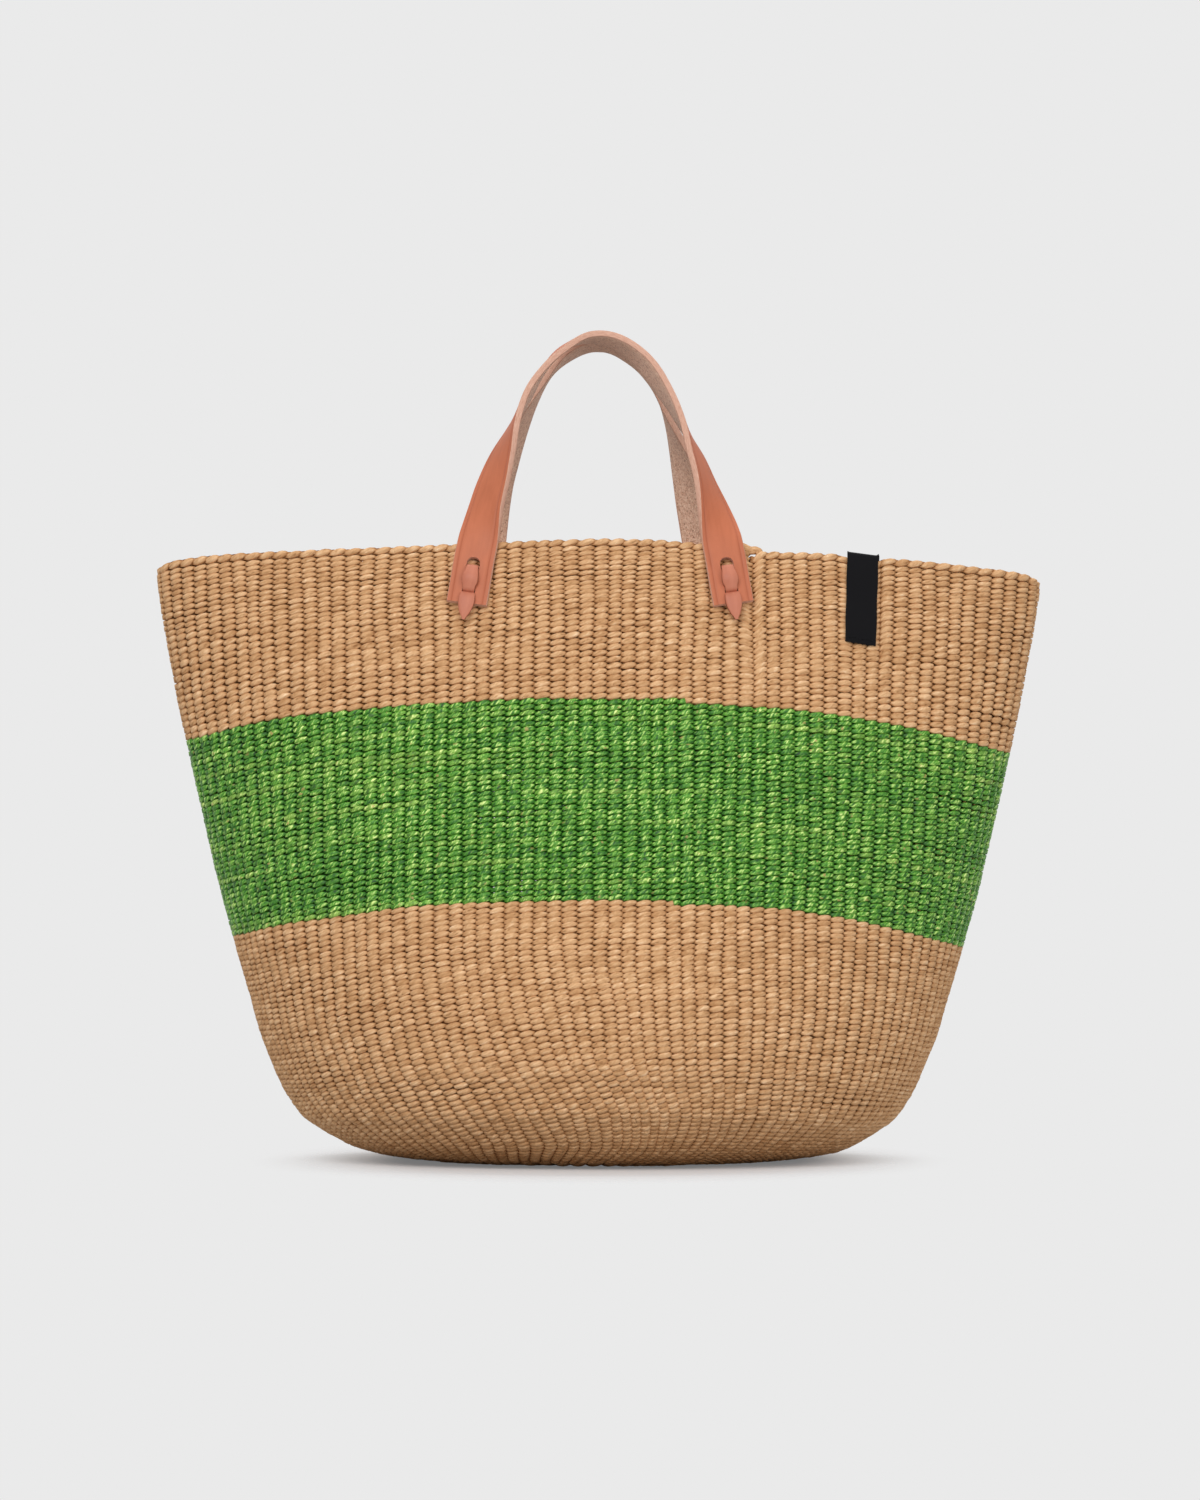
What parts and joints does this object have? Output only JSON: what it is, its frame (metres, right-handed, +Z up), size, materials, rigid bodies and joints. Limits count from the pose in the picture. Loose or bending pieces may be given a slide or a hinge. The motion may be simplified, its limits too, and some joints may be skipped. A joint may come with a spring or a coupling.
{
  "type": "market basket",
  "caption": "Soft woven basket with a pinched mouth, a contrasting band, two arched leather handles laced through the wall and a small folded label.",
  "frame": {"origin": "middle of the base's flat underside, on the surface that the basket stands on", "axes": "+X along the mouth to the right, +Y to the back, +Z up"},
  "size_m": [0.449, 0.2522, 0.4202],
  "materials": {
    "natural_yarn": "matt natural paper-like yarn, twined",
    "green_yarn": "dyed sisal-like yarn with a slight sheen, twined",
    "strap_leather": "vegetable-tanned, smooth grain side, rough flesh side",
    "lace_leather": "vegetable-tanned, thin",
    "label_fabric": "black woven tape, bare"
  },
  "bodies": {
    "basket": {"base_weave": "natural_yarn", "lower_wall_weave": "natural_yarn", "green_band_weave": "green_yarn", "upper_wall_weave": "natural_yarn", "rim_braid": "natural_yarn", "front_left_strap_tab": "strap_leather", "front_left_lace": "lace_leather", "front_right_strap_tab": "strap_leather", "front_right_lace": "lace_leather", "back_left_strap_tab": "strap_leather", "back_left_lace": "lace_leather", "back_right_strap_tab": "strap_leather", "back_right_lace": "lace_leather", "label": "label_fabric", "label_stitch": "label_fabric"},
    "front_handle": {"front_handle_loop": "strap_leather"},
    "back_handle": {"back_handle_loop": "strap_leather"}
  },
  "joints": [
    {"name": "front_handle_swing", "type": "hinge", "parent": "basket", "child": "front_handle", "pos_m": [0, -0.05106, 0.30802], "axis": [1, 0, 0], "range_deg": [0, 120]},
    {"name": "back_handle_swing", "type": "hinge", "parent": "basket", "child": "back_handle", "pos_m": [-0.00301, 0.05141, 0.30804], "axis": [-1, 0, 0], "range_deg": [0, 120]}
  ]
}
